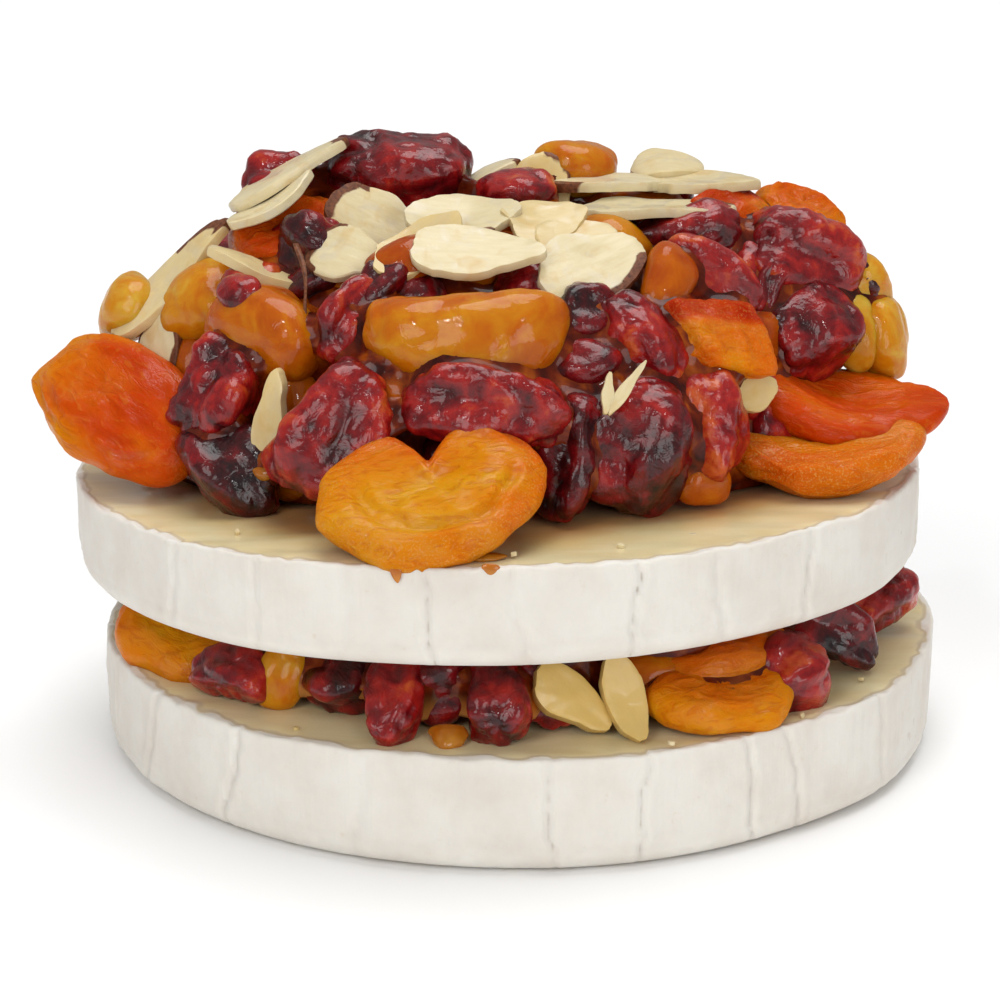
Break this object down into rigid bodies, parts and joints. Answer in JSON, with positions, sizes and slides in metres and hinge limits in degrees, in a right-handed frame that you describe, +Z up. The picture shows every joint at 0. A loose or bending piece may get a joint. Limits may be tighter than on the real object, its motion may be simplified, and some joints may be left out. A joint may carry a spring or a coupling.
{
  "type": "filled brie wheel",
  "caption": "Small brie wheel cut level in two, with dried fruit and sliced almonds between the halves and heaped on top.",
  "frame": {"origin": "centre of the lower half's flat base, the face that the cheese stands on", "axes": "+Z up, along the wheel's axis; -Y is the front, the side that the picture shows; +X is to the right in it"},
  "size_m": [0.1151, 0.1086, 0.0761],
  "materials": {
    "brie": "soft white bloomy rind, pale yellow paste on the cut faces",
    "cranberry": "dark red wrinkled dried fruit under a thin honey glaze",
    "raisin": "amber dried fruit under a thin honey glaze",
    "apricot": "orange dried fruit, satin to glossy",
    "almond": "cream sliced nut with brown skin at the edge",
    "mixed_fruit": "dried fruit and almonds bound with honey"
  },
  "bodies": {
    "root": {"almond_back_long": "almond", "almond_centre": "almond", "almond_crumpled": "almond", "almond_far_left": "almond", "almond_forked": "almond", "almond_front_stick": "almond", "almond_left_centre": "almond", "almond_oval": "almond", "almond_pair_a": "almond", "almond_right_long": "almond", "almond_right_point": "almond", "almond_round": "almond", "almond_sliver": "almond", "almond_top_left_long": "almond", "apricot_back_right": "apricot", "apricot_chunk": "apricot", "apricot_chunk_back": "apricot", "apricot_front": "apricot", "apricot_left": "apricot", "apricot_right_high": "apricot", "apricot_right_low": "apricot", "apricot_top_left": "apricot", "cranberry_big_right_low": "cranberry", "cranberry_big_right_side": "cranberry", "cranberry_big_right_top": "cranberry", "cranberry_crown": "cranberry", "cranberry_far_right": "cranberry", "cranberry_front_big": "cranberry", "cranberry_front_dark": "cranberry", "cranberry_front_mid": "cranberry", "cranberry_front_right": "cranberry", "cranberry_left_high": "cranberry", "cranberry_left_low": "cranberry", "cranberry_left_mid": "cranberry", "cranberry_right_low": "cranberry", "cranberry_right_mid": "cranberry", "cranberry_right_smooth": "cranberry", "cranberry_under_almond": "cranberry", "filling_almond_left": "almond", "filling_almond_right": "almond", "filling_apricot_left": "apricot", "filling_apricot_lower": "apricot", "filling_apricot_upper": "apricot", "filling_cranberry_dark_right": "cranberry", "filling_cranberry_far_right": "cranberry", "filling_cranberry_left": "cranberry", "filling_cranberry_out_left": "cranberry", "filling_cranberry_out_mid": "cranberry", "filling_cranberry_right": "cranberry", "filling_layer": "mixed_fruit", "lower_half": "brie", "raisin_crumpled": "raisin", "raisin_far_left": "raisin", "raisin_far_right_high": "raisin", "raisin_far_right_low": "raisin", "raisin_front": "raisin", "raisin_left_high": "raisin", "raisin_left_mid": "raisin", "topping_heap": "mixed_fruit", "upper_half": "brie"}
  },
  "joints": []
}
